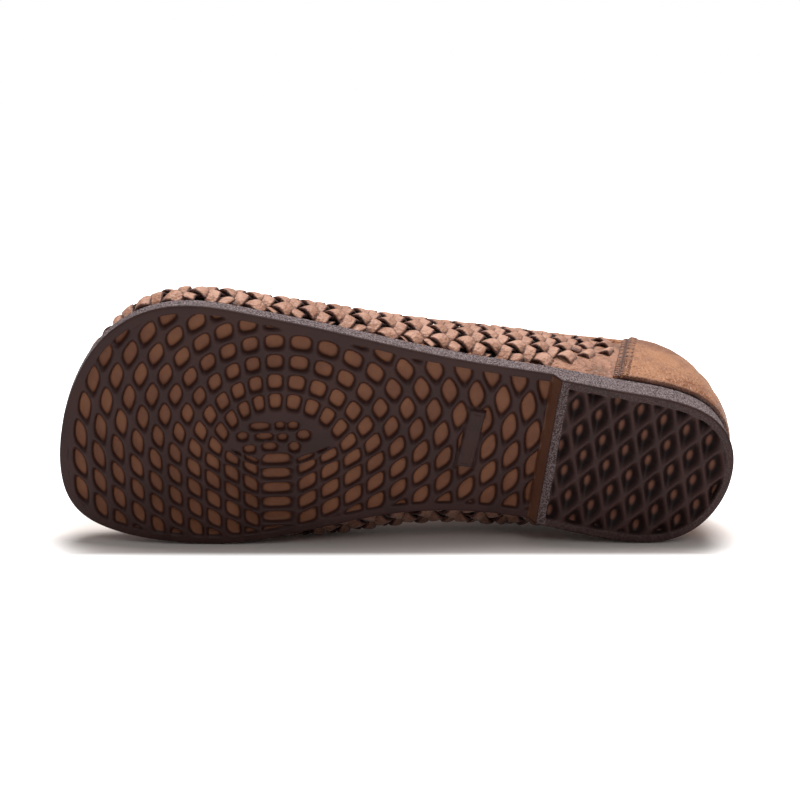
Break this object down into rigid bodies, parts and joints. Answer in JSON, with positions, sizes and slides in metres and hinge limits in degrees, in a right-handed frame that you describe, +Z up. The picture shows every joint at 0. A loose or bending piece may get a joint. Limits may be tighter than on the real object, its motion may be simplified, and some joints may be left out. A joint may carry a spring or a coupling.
{
  "type": "shoe",
  "caption": "Woven leather slip-on loafer for the left foot, lying on its medial side, with a moulded ribbed rubber sole and a stepped heel.",
  "frame": {"origin": "centre of the bounding box in X and Y, on the floor that the shoe lies on", "axes": "-X towards the toe, -Y out of the sole, +Y out of the collar, +Z up from the floor towards the lateral side"},
  "size_m": [0.2556, 0.0842, 0.097],
  "materials": {
    "moulded_rubber": "matt, fine pebble grain on the side wall",
    "insole_leather": "matt",
    "woven_leather": "satin, woven in diagonal strips",
    "counter_leather": "satin, creased"
  },
  "bodies": {
    "root": {"outsole": "moulded_rubber", "insole": "insole_leather", "upper": "woven_leather", "heel_counter": "counter_leather"}
  },
  "joints": []
}
